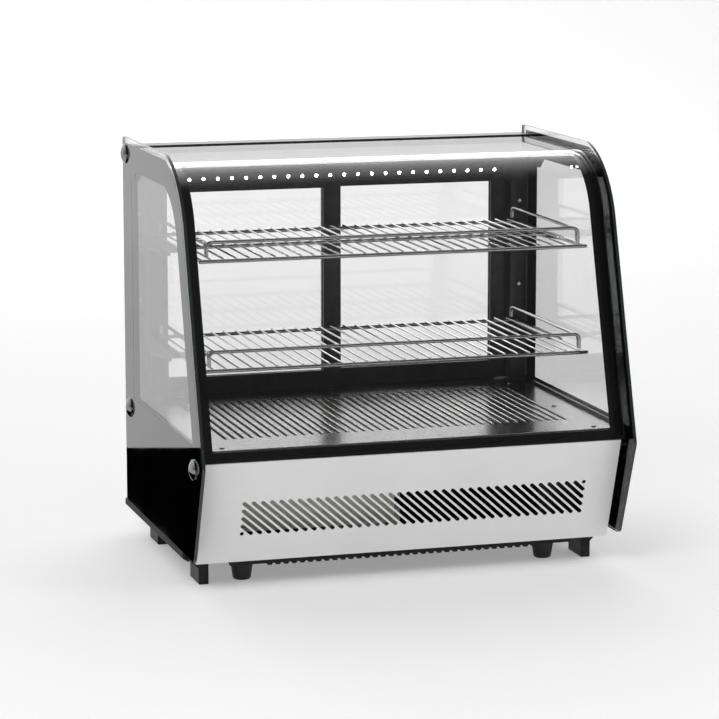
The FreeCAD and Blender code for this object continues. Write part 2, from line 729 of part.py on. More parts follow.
def make_insulated_tub():
    """Foam tub: a shallow air duct under the deck and a well for the cooling coil."""
    outside = fuse(box((-328, 328), (-185, 215), (168, 224)), box((-328, -10), (-150, 215), (82, 168)))
    inside = fuse(box((-314, 314), (-171, 201), (184, 226)), box((-312, -28), (-130, 201), (98, 190)))
    drain = cylinder("z", (-170, 150, 80), "7", "20")
    node(cut(outside, inside, drain), "insulated_tub")
    hose = cut(cylinder("z", (-170, 150, 60), "6.9", "38"), cylinder("z", (-170, 150, 59), "5", "40"))
    node(hose, "drain_hose")
    tray = cut(box((-300, -60), (60, 235), (44, 66)), box((-298, -62), (62, 233), (46, 70)))
    node(tray, "condensate_tray")


# ---------------------------------------------------------------- refrigeration

def fin_block(x, y, z, tube_radius, rows):
    """Upright cooling fins on tubes that run along X: x is (first, pitch, count)."""
    parts = []
    for i in range(x[2]):
        at = x[0] + i * x[1]
        parts.append(Part.makeBox(0.8, y[1] - y[0], z[1] - z[0], Vector(at, y[0], z[0])))
    far = x[0] + (x[2] - 1) * x[1] + 8
    for row_y, row_z in rows:
        parts.append(rod(Vector(x[0] - 7, row_y, row_z), Vector(far, row_y, row_z), tube_radius))
    for end_x in (x[0] - 7, far - 1.5):
        parts.append(Part.makeBox(1.5, y[1] - y[0], z[1] - z[0], Vector(end_x, y[0], z[0])))
    return parts[0].multiFuse(parts[1:])


def make_coils():
    rows = [(y, z) for y in (-95, -75) for z in (112, 132, 152, 170)]
    chill = fin_block((-280, 9, 24), (-105, -65), (102, 180), 4, rows)
    node(shape_feature(chill), "evaporator_coil")
    rows = [(y, z) for y in (-138, -120) for z in (62, 84, 106, 128, 148)]
    warm = fin_block((24, 8, 26), (-148, -110), (52, 158), 4, rows)
    node(shape_feature(warm), "condenser_coil")


def fan_blades(radius, depth, blade_count):
    """A hub with pitched blades round the Y axis; the hub is bored for its shaft."""
    hub = 0.3 * radius
    bodies = [Part.makeCylinder(hub, depth, Vector(0, 0, 0), Vector(0, 1, 0))]
    blade = Part.makeBox(0.62 * radius, 1.8, radius - hub + 3, Vector(-0.31 * radius, -0.9, hub - 3))
    blade.rotate(Vector(), Vector(0, 0, 1), 32)
    blade.translate(Vector(0, depth / 2, 0))
    limit = Part.makeCylinder(radius, depth, Vector(0, 0, 0), Vector(0, 1, 0))
    for i in range(blade_count):
        copy = blade.copy()
        copy.rotate(Vector(0, 0, 0), Vector(0, 1, 0), 360.0 / blade_count * i)
        bodies.append(copy.common(limit))
    bore = Part.makeCylinder(size("shaft_radius") + size("shaft_fit"), 0.7 * depth, Vector(0, 0.3 * depth, 0),
                             Vector(0, 1, 0))
    return bodies[0].multiFuse(bodies[1:]).cut(bore)


def make_fan(name, radius, blade_count, centre, shroud_box):
    """Blades, a motor on three arms whose shaft the hub runs on, and a shroud with a round opening."""
    depth = 18.0
    blades = shape_feature(fan_blades(radius, depth, blade_count))
    blades.Placement = Placement(centre, Rotation())
    node(blades, f"{name}_fan_blade")
    motor_front = centre.y + depth + 3
    motor_radius = 0.42 * radius
    x, z = centre.x, centre.z
    (x0, x1), (z0, z1) = shroud_box
    plate = box((x0, x1), (centre.y - 4, centre.y - 2), (z0, z1))
    rim = cylinder("y", (x, centre.y - 3, z), f"{radius + 3}", "15")
    opening = cylinder("y", (x, centre.y - 6, z), f"{radius + 1.5}", "20")
    shroud = cut(fuse(plate, rim), opening)
    motor = [
        cylinder("y", (x, motor_front, z), f"{motor_radius}", "26"),
        cylinder("y", (x, centre.y + 0.3 * depth + 0.3, z), "shaft_radius", f"{0.7 * depth + 3}"),
    ]
    arm_end = radius + 2.2
    arms = []
    for angle in (90, 210, 330):
        way = Vector(math.cos(math.radians(angle)), 0, math.sin(math.radians(angle)))
        start = Vector(x, motor_front + 4, z) + way * (motor_radius - 2)
        end = Vector(x, motor_front + 4, z) + way * arm_end
        arms.append(rod(start, end, 2))
        arms.append(rod(end, Vector(end.x, centre.y + 12.05, end.z), 2))
        arms.append(Part.makeSphere(2, end))
    bracket = shape_feature(arms[0].multiFuse(arms[1:]))
    node(fuse(*motor, bracket), f"{name}_fan_motor")
    return shroud


def make_fans():
    chill = make_fan("evaporator", size("chill_fan_radius"), 5, Vector(-170, -30, 142),
                     ((-300, -40), (100, 182)))
    warm = make_fan("condenser", size("fan_radius"), 7, Vector(122, -96, 105), ((16, 228), (52, 158)))
    node(group(chill, warm), "fan_shrouds")


def make_compressor():
    """A welded shell on a foot plate, with a terminal box and three pipe stubs."""
    shell = turned([(0, 112, 0), (0, 0, 0), (46, 0, 8), (58, 18, 10), (58, 84, 22), (34, 112, 10)])
    shell.Placement = Placement(Vector(232, 130, 52), Rotation())
    plate = box((165, 299), (75, 185), (48, 52.5))
    terminal = box((284, 312), (105, 155), (80, 130))
    corners = [(x, y) for x in (178, 286) for y in (86, 174)]
    grommets = [cylinder("z", (x, y, "pan_level + sheet_thick"), "9", "5") for x, y in corners]
    stubs = [cylinder("x", (160, 120, 100), "3.2", "20"), cylinder("x", (160, 140, 124), "4", "20")]
    node(fuse(shell, plate, terminal, *grommets, *stubs), "compressor")


def make_pipework():
    """Copper pipe from the compressor to the condenser, the drier, and on to the cooling coil."""
    discharge = bent_rod([Vector(160, 120, 100), Vector(4, 120, 100), Vector(4, -20, 62),
                          Vector(4, -138, 62)], 12, 3)
    suction = bent_rod([Vector(160, 140, 124), Vector(0, 140, 124), Vector(0, 40, 150),
                        Vector(0, -90, 132)], 12, 3.6)
    node(group(shape_feature(discharge), shape_feature(suction)), "refrigerant_pipes")
    drier = fuse(cylinder("y", (262, -60, 70), "9", "70"), cone("y", (262, 10, 70), "9", "3", "12"),
                 cone("y", (262, -72, 70), "3", "9", "12"))
    node(drier, "filter_drier")


# ---------------------------------------------------------------- service panel

PANEL_CONTROLLER = ((-70.0, 12.0), (124.0, 160.0))
SWITCHES = {"power": -118.0, "light": -160.0}
ROCKER_TILT = 9


def control_band(reach):
    """Heights from below to above the controls' centre line."""
    return (f"control_height - {reach}", f"control_height + {reach}")


def make_service_panel():
    """The lower rear cover with louvre slots, and openings for the controls and the cable inlet."""
    cover = fuse(
        box((-340, 340), ("service_rear - sheet_thick", "service_rear"), ("service_foot", "service_top")),
        box((-340, 340), ("service_rear - 5", "service_rear"), ("service_top - sheet_thick", "service_top")))
    slots = []
    for column in (0, 1):
        for i in range(9):
            low = 46 + column * 145
            z = 74 + 13 * i
            slots.append(box((low, low + 128), ("service_rear - 8", "service_rear + 1"), (z, z + 5)))
    (x0, x1), (z0, z1) = PANEL_CONTROLLER
    through = ("service_rear - 8", "service_rear + 1")
    openings = [box((x0 + 3, x1 - 3), through, (z0 + 3, z1 - 3)),
                cylinder("y", ("gland_x", "service_rear - 8", "gland_height"), "gland_barrel + 0.1", "12")]
    for x in SWITCHES.values():
        openings.append(box((x - 14, x + 14), through, control_band(11)))
    places = [(x, z) for x in (-325, 325) for z in (70, 192)] + [(0, 70)]
    holes = [cylinder("y", (x, "service_rear - 8", z), "2.1", "12") for x, z in places]
    node(cut(cover, *slots, *openings, *holes), "service_panel")
    screws = [fuse(cylinder("y", (x, "service_rear - 7", z), "2", "7"),
                   cone("y", (x, "service_rear", z), "4", "2.8", "1.8")) for x, z in places]
    node(group(*screws), "service_panel_screws")


def make_controls():
    """The thermostat with its display window and push buttons, and two rocker switches."""
    (x0, x1), (z0, z1) = PANEL_CONTROLLER
    bezel = fuse(box((x0, x1), ("service_rear", "service_rear + 3"), (z0, z1)),
                 box((x0 + 3.2, x1 - 3.2), ("service_rear - 40", "service_rear"), (z0 + 3.2, z1 - 3.2)))
    window = box((x0 + 8, x0 + 48), ("service_rear + 1.2", "service_rear + 4"), (z0 + 9, z1 - 9))
    seats = [cylinder("y", (x0 + 56 + 9 * i, "service_rear - 1.5", "control_height"), "3.1", "6")
             for i in range(3)]
    node(cut(bezel, window, *seats), "thermostat_body")
    for i, name in enumerate(("set", "down", "up")):
        at = x0 + 56 + 9 * i
        cap = fuse(cylinder("y", (at, "service_rear + 0.6", "control_height"), "2.9", "3"),
                   cylinder("y", (at, "service_rear - 0.3", "control_height"), "1.6", "1"))
        node(cap, f"{name}_button")
    glass = box((x0 + 8.1, x0 + 47.9), ("service_rear + 1.25", "service_rear + 2.9"), (z0 + 9.1, z1 - 9.1))
    node(glass, "display_window")
    frames = []
    for name, x in SWITCHES.items():
        block = fuse(box((x - 16, x + 16), ("service_rear", "service_rear + 2"), control_band(13)),
                     box((x - 13.8, x + 13.8), ("service_rear - 24", "service_rear"), control_band(10.8)))
        well = box((x - 12, x + 12), ("service_rear - 9", "service_rear + 3"), control_band(9))
        pins = [cylinder("x", (x - 12.5, "service_rear - 1", "control_height"), "1.5", "2.5"),
                cylinder("x", (x + 10, "service_rear - 1", "control_height"), "1.5", "2.5")]
        frames.append(fuse(cut(block, well), *pins))
        make_rocker(name, x)
    node(group(*frames), "switch_frames")


def make_rocker(name, x):
    """A rocker in two flat halves, bored at its ends for the frame's pivot pins."""
    pivot = size("service_rear") - 1
    level = size("control_height")
    rise = pivot + 2.2
    edge = rise + 8.3 * math.tan(math.radians(ROCKER_TILT))
    profile = [(pivot - 4, level - 6.5, 0), (edge, level - 8.0, 0.8), (rise, level, 0),
               (edge, level + 8.0, 0.8), (pivot - 4, level + 6.5, 0)]
    rocker = slab("YZ_Plane", profile, "23.4")
    tipped = Rotation(Vector(1, 0, 0), -ROCKER_TILT)
    axis_point = Vector(0, pivot, level)
    rocker.Placement = Placement(Vector(x, 0, 0) + axis_point - tipped.multVec(axis_point), tipped)
    bores = [cylinder("x", (x - 12, "service_rear - 1", "control_height"), "1.55", "2.6"),
             cylinder("x", (x + 9.4, "service_rear - 1", "control_height"), "1.55", "2.7")]
    node(cut(rocker, *bores), f"{name}_rocker")


def make_electrics():
    """The cable gland in the service panel and the lamp's power supply."""
    def ring(start, radius, length):
        return cylinder("y", ("gland_x", f"service_rear + {start}", "gland_height"), radius, length)

    neck = cone("y", ("gland_x", "service_rear + 5", "gland_height"), "9", "6.5", "9")
    gland = fuse(ring(-14, "gland_barrel", "14"), ring(0, "12", "5"), neck, ring(-6, "12", "4.6"))
    node(cut(gland, ring(-16, "gland_bore", "40")), "cable_gland")
    node(box((-325, -215), (219.5, 243), (128, 176)), "lamp_driver")


def build():
    make_cheek(-1, "side_glass_left")
    make_cheek(1, "side_glass_right")
    make_cap_screws()
    make_front_glass()
    make_seals()
    make_rear_frame()
    make_lamp()
    make_doors()
    for name in ("upper", "lower"):
        make_shelf(name, f"{name}_level", f"{name}_front")
        make_guard(name, f"{name}_level", f"{name}_front")
    make_brackets()
    make_deck()
    make_front_panel()
    make_base_pan()
    make_skid(-1, "skid_rail_left")
    make_skid(1, "skid_rail_right")
    make_rubber_feet()
    make_insulated_tub()
    make_coils()
    make_fans()
    make_compressor()
    make_pipework()
    make_service_panel()
    make_controls()
    make_electrics()


def export():
    doc.recompute()
    for item in doc.Objects:
        if "Invalid" in item.State or "Error" in item.State:
            raise RuntimeError(f"{item.Name} ({item.Label}) failed: {item.State}")
    for item in NODES:
        if item.Shape.isNull() or not item.Shape.isValid():
            raise RuntimeError(f"{item.Label} has no valid shape")
    os.makedirs("parts", exist_ok=True)
    for item in NODES:
        item.Shape.exportStep(os.path.join("parts", f"{item.Label}.step"))
        print(f"{item.Label}: {len(item.Shape.Solids)} solids, {item.Shape.Volume / 1000:.1f} cm3")
    print(len(NODES), "nodes")


build()
export()
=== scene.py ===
import math

import bmesh
import bpy
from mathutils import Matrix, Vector


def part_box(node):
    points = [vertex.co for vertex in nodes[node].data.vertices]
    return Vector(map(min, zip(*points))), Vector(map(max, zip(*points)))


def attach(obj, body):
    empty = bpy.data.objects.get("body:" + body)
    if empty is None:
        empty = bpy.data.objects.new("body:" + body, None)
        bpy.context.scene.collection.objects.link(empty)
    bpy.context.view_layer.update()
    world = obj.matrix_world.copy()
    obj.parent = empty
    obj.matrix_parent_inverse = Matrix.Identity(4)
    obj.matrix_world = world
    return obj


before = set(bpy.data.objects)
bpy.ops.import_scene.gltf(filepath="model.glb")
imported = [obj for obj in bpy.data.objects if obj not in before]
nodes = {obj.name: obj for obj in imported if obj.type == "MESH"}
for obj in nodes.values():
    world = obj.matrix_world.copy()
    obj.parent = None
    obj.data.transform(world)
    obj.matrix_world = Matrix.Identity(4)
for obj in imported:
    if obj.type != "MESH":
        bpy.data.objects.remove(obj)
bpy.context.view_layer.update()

# Countertop bakery display case, in metres, in the frame of the CAD model.

MM = 0.001


# ---------------------------------------------------------------- material graphs

class Graph:
    """The node graph of one material."""

    def __init__(self, name):
        self.material = bpy.data.materials.new(name)
        self.material.use_nodes = True
        self.tree = self.material.node_tree
        self.tree.nodes.clear()
        self.output = self.node("OutputMaterial")

    def node(self, kind, **settings):
        made = self.tree.nodes.new("ShaderNode" + kind)
        for key, value in settings.items():
            setattr(made, key, value)
        return made

    def feed(self, socket, value):
        """Links an output to a socket, or sets the socket's own value."""
        if isinstance(value, bpy.types.NodeSocket):
            self.tree.links.new(value, socket)
        else:
            socket.default_value = value

    def place(self):
        return self.node("TexCoord").outputs["Object"]

    def noise(self, scale, detail=3.0, stretch=(1, 1, 1)):
        mapping = self.node("Mapping")
        mapping.inputs["Scale"].default_value = stretch
        self.feed(mapping.inputs["Vector"], self.place())
        made = self.node("TexNoise")
        self.feed(made.inputs["Vector"], mapping.outputs["Vector"])
        made.inputs["Scale"].default_value = scale
        made.inputs["Detail"].default_value = detail
        return made.outputs["Fac"]

    def cells(self, scale):
        made = self.node("TexVoronoi")
        self.feed(made.inputs["Vector"], self.place())
        made.inputs["Scale"].default_value = scale
        return made.outputs["Distance"]

    def spread(self, value, low, high, start=0.3, end=0.7):
        """The value between start and end, stretched over low to high."""
        made = self.node("MapRange")
        self.feed(made.inputs["Value"], value)
        made.inputs["From Min"].default_value = start
        made.inputs["From Max"].default_value = end
        made.inputs["To Min"].default_value = low
        made.inputs["To Max"].default_value = high
        return made.outputs["Result"]

    def maths(self, operation, first, second=0.0):
        made = self.node("Math", operation=operation)
        self.feed(made.inputs[0], first)
        self.feed(made.inputs[1], second)
        return made.outputs[0]

    def blend(self, factor, first, second):
        made = self.node("Mix", data_type="RGBA")
        self.feed(made.inputs["Factor"], factor)
        self.feed(made.inputs["A"], first)
        self.feed(made.inputs["B"], second)
        return made.outputs["Result"]

    def relief(self, height, strength, depth, under=None):
        """A bump from a height, laid over another one if given."""
        made = self.node("Bump")
        made.inputs["Strength"].default_value = strength
        made.inputs["Distance"].default_value = depth
        self.feed(made.inputs["Height"], height)
        if under is not None:
            self.feed(made.inputs["Normal"], under)
        return made.outputs["Normal"]

    def principled(self, **values):
        made = self.node("BsdfPrincipled")
        for key, value in values.items():
            self.feed(made.inputs[key.replace("_", " ")], value)
        return made.outputs["BSDF"]

    def finish(self, surface):
        self.feed(self.output.inputs["Surface"], surface)
        return self.material


def grey(value, alpha=1.0):
    return (value, value, value, alpha)


def worn_edges(graph):
    """0 on flats and up to 1 on convex edges, broken up by noise."""
    point = graph.node("NewGeometry").outputs["Pointiness"]
    edge = graph.spread(point, 0.0, 1.0, 0.52, 0.60)
    return graph.maths("MULTIPLY", edge, graph.spread(graph.noise(60, 4), 0.2, 1.0))


def brushed(name, tone, rough, grain, along=(1, 60, 60), depth=0.00002, tint=(1, 1, 1)):
    """Sheet metal with a brushed grain along one axis and faint smears."""
    g = Graph(name)
    lines = g.noise(grain, 4, along)
    smear = g.noise(7, 3)
    dark = tuple(tone * 0.9 * c for c in tint) + (1,)
    light = tuple(min(1, tone * 1.06) * c for c in tint) + (1,)
    colour = g.blend(g.spread(lines, 0, 1), dark, light)
    level = g.maths("ADD", g.spread(smear, rough * 0.85, rough * 1.15), g.spread(lines, -0.02, 0.02))
    return g.finish(g.principled(
        Base_Color=colour, Metallic=1.0, Roughness=level, Normal=g.relief(lines, 0.35, depth)))


def coated(name, tone, rough, grain_scale, depth, wear=0.25, metallic=0.0, coat=0.0, tint=(1, 1, 1),
           shine=0.3, uneven=0.05):
    """Paint or moulded plastic: fine texture, uneven gloss and rubbed edges."""
    g = Graph(name)
    fine = g.noise(grain_scale, 2)
    cloud = g.noise(9, 4)
    base = tuple(tone * (1 - uneven) * c for c in tint) + (1,)
    lift = tuple(min(1, tone * (1 + uneven) + 0.002) * c for c in tint) + (1,)
    colour = g.blend(g.spread(cloud, 0, 1), base, lift)
    rubbed = g.maths("MULTIPLY", worn_edges(g), wear)
    colour = g.blend(rubbed, colour, grey(min(1.0, tone * 1.6 + 0.06)))
    level = g.maths("ADD", g.spread(cloud, rough * 0.92, rough * 1.08), g.spread(fine, -0.04, 0.04))
    return g.finish(g.principled(
        Base_Color=colour, Metallic=metallic, Roughness=level, Coat_Weight=coat, Coat_Roughness=0.08,
        Specular_IOR_Level=shine,
        Normal=g.relief(fine, 0.4, depth, g.relief(cloud, 0.1, 0.0003))))


def chrome(name, tone, rough):
    """Bright plating with faint ripples, water marks and fine scratches."""
    g = Graph(name)
    ripple = g.noise(90, 2)
    marks = g.noise(35, 5)
    scratch = g.noise(420, 2, (1, 8, 1))
    colour = g.blend(g.spread(marks, 0, 1), grey(tone * 0.9), grey(tone))
    level = g.maths("ADD", g.spread(marks, rough * 0.6, rough * 1.6), g.spread(scratch, 0.0, 0.03))
    return g.finish(g.principled(
        Base_Color=colour, Metallic=1.0, Roughness=level, Normal=g.relief(ripple, 0.12, 0.0002)))


GLASS_IOR = 1.5


def pane(name, edge_along_x, tint=0.985, film=0.02, edge=(0.03, 0.04, 0.038, 1)):
    """Clear glass with mirroring at a glancing angle, a faint film of smears and dark cut edges."""
    g = Graph(name)
    smear = g.noise(6, 5)
    clear = g.node("BsdfTransparent")
    clear.inputs["Color"].default_value = grey(tint)
    mirror = g.node("BsdfGlossy")
    g.feed(mirror.inputs["Roughness"], g.spread(smear, 0.0, 0.035))
    mirror.inputs["Color"].default_value = grey(0.95)
    behind = g.node("NewGeometry").outputs["Backfacing"]
    fresnel = g.node("Fresnel")
    g.feed(fresnel.inputs["IOR"], g.spread(behind, GLASS_IOR, 1 / GLASS_IOR, 0, 1))
    share = g.maths("ADD", fresnel.outputs["Fac"], g.spread(smear, 0.0, film, 0.45, 0.8))
    face = g.node("MixShader")
    g.feed(face.inputs["Fac"], share)
    g.feed(face.inputs[1], clear.outputs["BSDF"])
    g.feed(face.inputs[2], mirror.outputs["BSDF"])
    cut = g.principled(Base_Color=edge, Roughness=g.spread(g.noise(300), 0.08, 0.3), IOR=1.5)
    parts = g.node("SeparateXYZ")
    g.feed(parts.inputs[0], g.node("TexCoord").outputs["Normal"])
    side = g.maths("ABSOLUTE", parts.outputs["X"])
    on_edge = g.maths("GREATER_THAN" if edge_along_x else "LESS_THAN", side, 0.6)
    both = g.node("MixShader")
    g.feed(both.inputs["Fac"], on_edge)
    g.feed(both.inputs[1], face.outputs["Shader"])
    g.feed(both.inputs[2], cut)
    return g.finish(both.outputs["Shader"])


def printed(name):
    """Black ceramic print on glass: deep gloss with a trace of smears."""
    g = Graph(name)
    smear = g.noise(8, 5)
    dust = g.noise(500, 1)
    colour = g.blend(g.spread(dust, 0, 1, 0.66, 0.8), grey(0.0012), grey(0.008))
    return g.finish(g.principled(
        Base_Color=colour, Roughness=g.spread(smear, 0.02, 0.07), IOR=1.5,
        Normal=g.relief(g.noise(3, 1), 0.05, 0.0004)))


def glowing(name, strength):
    """A light-emitting chip under its dome."""
    g = Graph(name)
    cells = g.cells(900)
    made = g.node("Emission")
    g.feed(made.inputs["Color"], g.blend(g.spread(cells, 0, 1), (1, 1, 1, 1), (0.88, 0.94, 1.0, 1)))
    made.inputs["Strength"].default_value = strength
    return g.finish(made.outputs["Emission"])


def foam(name):
    g = Graph(name)
    cells = g.cells(700)
    cloud = g.noise(12)
    colour = g.blend(g.spread(cloud, 0, 1), (0.74, 0.73, 0.66, 1), (0.86, 0.86, 0.82, 1))
    return g.finish(g.principled(Base_Color=colour, Roughness=g.spread(cells, 0.6, 0.85),
                                 Normal=g.relief(cells, 0.5, 0.0004)))


def copper(name):
    g = Graph(name)
    stain = g.noise(30, 5)
    drawn = g.noise(500, 2)
    colour = g.blend(g.spread(stain, 0, 1), (0.50, 0.24, 0.14, 1), (0.83, 0.48, 0.34, 1))
    return g.finish(g.principled(Base_Color=colour, Metallic=1.0, Roughness=g.spread(stain, 0.2, 0.42),
                                 Normal=g.relief(drawn, 0.2, 0.00005)))


SLOT_MATERIALS = {
    "clear_glass": pane("ClearGlass", edge_along_x=False, tint=0.93),
    "door_glass": pane("DoorGlass", edge_along_x=True, tint=0.95),
    "light_panel": coated("SatinPanel", 0.90, 0.38, 700, 0.00001, wear=0.1, shine=0.5, uneven=0.02),
    "stainless": brushed("PolishedStainless", 0.34, 0.22, 30, (40, 1, 40)),
    "chrome_wire": chrome("WireChrome", 0.46, 0.08),
    # The cap plating is darker than the wire chrome. Part of that darkness is painted shade for the dark
    # studio that the domes mirror.
    "chrome_cap": chrome("CapChromeWithPaintedShade", 0.26, 0.04),
    "dark_frame": coated("DarkAnodised", 0.035, 0.34, 900, 0.00003, wear=0.3, metallic=0.5),
    "black_steel": coated("BlackPowderCoat", 0.006, 0.42, 1400, 0.00008, wear=0.3, shine=0.2),
    "black_plastic": coated("BlackMoulding", 0.005, 0.42, 1800, 0.00005, wear=0.1, shine=0.25),
    "gloss_black": coated("BlackGloss", 0.008, 0.16, 2200, 0.00001, wear=0.1, coat=0.4),
    "rubber": coated("Rubber", 0.006, 0.36, 900, 0.00008, wear=0.1, shine=0.4),
    "aluminium": brushed("MillAluminium", 0.78, 0.3, 60, (1, 30, 30)),
    "lamp": coated("LampBoard", 0.03, 0.4, 1500, 0.00002, wear=0.0),
    "copper": copper("DrawnCopper"),
    "foam": foam("TubFoam"),
    "grey_plastic": coated("GreyMoulding", 0.45, 0.45, 1500, 0.00005, wear=0.1),
    "display": coated("TintedWindow", 0.012, 0.1, 2000, 0.00001, wear=0.0, coat=0.5, tint=(1, 0.25, 0.2)),
}
PRINT = printed("BlackPrint")
GLOW = glowing("ChipGlow", 40.0)

NODE_SLOTS = {
    "clear_glass": ["side_glass_left", "side_glass_right", "front_glass"],
    "door_glass": ["left_door_glass", "right_door_glass"],
    "light_panel": ["front_panel"],
    "stainless": ["deck_panel", "deck_screws"],
    "chrome_wire": ["upper_shelf_grid", "upper_shelf_guard", "lower_shelf_grid", "lower_shelf_guard",
                    "post_screws"],
    "chrome_cap": ["side_cap_screws"],
    "dark_frame": ["rear_header", "rear_sill", "rear_post_left", "rear_post_right", "left_door_frame",
                   "right_door_frame", "top_rear_trim", "lamp_channel"],
    "black_steel": ["base_pan", "skid_rail_left", "skid_rail_right", "service_panel", "shelf_brackets",
                    "compressor", "service_panel_screws", "condenser_coil"],
    "black_plastic": ["left_door_pull", "right_door_pull", "thermostat_body", "switch_frames", "cable_gland",
                      "drain_hose", "evaporator_fan_blade", "evaporator_fan_motor", "condenser_fan_blade",
                      "condenser_fan_motor", "fan_shrouds"],
    "gloss_black": ["power_rocker", "light_rocker"],
    "rubber": ["front_glass_seal", "side_glass_seals", "rubber_foot_front_left", "rubber_foot_front_right",
               "rubber_foot_rear_left", "rubber_foot_rear_right"],
    "aluminium": ["evaporator_coil"],
    "lamp": ["lamp_board"],
    "copper": ["refrigerant_pipes", "filter_drier"],
    "foam": ["insulated_tub"],
    "grey_plastic": ["condensate_tray", "lamp_driver", "set_button", "down_button", "up_button"],
    "display": ["display_window"],
}


def dress(piece, material):
    piece.data.materials.clear()
    piece.data.materials.append(material)


for slot, names in NODE_SLOTS.items():
    for name in names:
        dress(nodes[name], SLOT_MATERIALS[slot])
dress(nodes["front_glass"], pane("FrontGlass", edge_along_x=True))
missed = set(nodes) - {name for names in NODE_SLOTS.values() for name in names}
if missed:
    raise SystemExit(f"nodes with no material: {sorted(missed)}")


# ---------------------------------------------------------------- mesh helpers

def add_piece(name, mesh, material, body):
    """A new piece of the object that rides on a body."""
    piece = bpy.data.objects.new(name, mesh)
    bpy.context.scene.collection.objects.link(piece)
    dress(piece, material)
    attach(piece, body)
    return piece


def smooth(mesh, angle=35.0):
    for face in mesh.polygons:
        face.use_smooth = True
    mesh.set_sharp_from_angle(angle=math.radians(angle))


def bm_mesh(name, bm, angle=35.0):
    bmesh.ops.recalc_face_normals(bm, faces=bm.faces)
    mesh = bpy.data.meshes.new(name)
    bm.to_mesh(mesh)
    bm.free()
    smooth(mesh, angle)
    return mesh


def end_loop(node, side):
    """The outline (y, z) of a node's flat end that faces -X (side -1) or +X (side 1)."""
    bm = bmesh.new()
    bm.from_mesh(nodes[node].data)
    bmesh.ops.remove_doubles(bm, verts=bm.verts, dist=1e-6)
    low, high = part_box(node)
    face_x = low.x if side < 0 else high.x
    flat = {f for f in bm.faces if all(abs(v.co.x - face_x) < 1e-5 for v in f.verts)}
    links = {}
    for edge in bm.edges:
        if sum(f in flat for f in edge.link_faces) == 1:
            a, b = edge.verts
            links.setdefault(a, []).append(b)
            links.setdefault(b, []).append(a)
    loops = []
    left = set(links)
    while left:
        start = left.pop()
        loop, here = [start], start
        while True:
            ahead = [v for v in links[here] if v in left]
            if not ahead:
                break
            here = ahead[0]
            left.discard(here)
            loop.append(here)
        loops.append([Vector((v.co.y, v.co.z)) for v in loop])
    bm.free()
    loop = max(loops, key=lambda points: sum((b - a).length for a, b in zip(points, points[1:])))
    area = sum(a.x * b.y - b.x * a.y for a, b in zip(loop, loop[1:] + loop[:1]))
    return loop if area > 0 else loop[::-1]


def clip(loop, normal, limit):
    """The part of an outline where point . normal <= limit."""
    made = []
    for a, b in zip(loop, loop[1:] + loop[:1]):
        over_a, over_b = a.dot(normal) - limit, b.dot(normal) - limit
        if over_a <= 0:
            made.append(a)
        if over_a * over_b < 0:
            made.append(a + (b - a) * (over_a / (over_a - over_b)))
    return made


def inset(loop, distance):
    """A convex counter-clockwise outline with each side moved inwards by what distance(outward) gives."""
    made = loop
    for a, b in zip(loop, loop[1:] + loop[:1]):
        side = b - a
        if side.length > 1e-6:
            outward = Vector((side.y, -side.x)).normalized()
            made = clip(made, outward, a.dot(outward) - distance(outward))
    return made


def plate_with_holes(name, x, thick, outlines):
    """A thin plate across X whose first outline is its rim and whose others are holes."""
    bm = bmesh.new()
    edges = []
    for loop in outlines:
        ring = [bm.verts.new((x, p.x, p.y)) for p in loop]
        edges += [bm.edges.new((a, b)) for a, b in zip(ring, ring[1:] + ring[:1])]
    bmesh.ops.triangle_fill(bm, use_beauty=True, edges=edges)
    grown = bmesh.ops.extrude_face_region(bm, geom=bm.faces[:])
    moved = [v for v in grown["geom"] if isinstance(v, bmesh.types.BMVert)]
    bmesh.ops.translate(bm, verts=moved, vec=(thick, 0, 0))
    return bm_mesh(name, bm)


# ---------------------------------------------------------------- printed borders

CLEAR_MARGIN = 8.5 * MM
CUT_MARGIN = 0.4 * MM
WINDOW_BORDER = 50 * MM
WINDOW_FOOT = 236.5 * MM
WINDOW_REAR = 193 * MM
NOTCH = [(193, 597), (178, 597), (158, 613)]
PRINT_THICK = 0.12 * MM


def print_margin(outward):
    """Clear glass is left along the top, the bend and the slanting front, and nearly none elsewhere."""
    return CLEAR_MARGIN if outward.y > 0.1 else CUT_MARGIN


def make_side_print(side, node, name):
    """The black border on a cheek, with a window in it."""
    rim = end_loop(node, side)
    outer = inset(rim, print_margin)
    window = inset(rim, lambda outward: WINDOW_BORDER)
    window = clip(window, Vector((0, -1)), -WINDOW_FOOT)
    window = clip(window, Vector((1, 0)), WINDOW_REAR)
    corner = max(range(len(window)), key=lambda i: window[i].x + window[i].y)
    window[corner:corner + 1] = [Vector((y * MM, z * MM)) for y, z in NOTCH]
    low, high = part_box(node)
    face = low.x if side < 0 else high.x
    mesh = plate_with_holes(name, face, side * PRINT_THICK, [outer, window])
    add_piece(name, mesh, PRINT, "case")


make_side_print(-1, "side_glass_left", "left_side_print")
make_side_print(1, "side_glass_right", "right_side_print")


def front_glass_path():
    """The inner face of the front glass as points (y, z) from its foot, up and over to its rear edge."""
    loop = end_loop("front_glass", -1)
    count = len(loop)
    lowest = sorted(range(count), key=lambda i: loop[i].y)[:2]
    inner_foot = max(lowest, key=lambda i: loop[i].x)
    outer_foot = min(lowest, key=lambda i: loop[i].x)
    order = [loop[(inner_foot + i) % count] for i in range(count)]
    if order[1].y < order[-1].y or order[1] == loop[outer_foot]:
        order = [order[0]] + order[:0:-1]
    rear = max(p.x for p in loop)
    path = []
    for point in order:
        path.append(point)
        if abs(point.x - rear) < 1e-5:
            break
    return path


STRIP = 22 * MM
BAND = 9 * MM
PRINT_GAP = 0.05 * MM


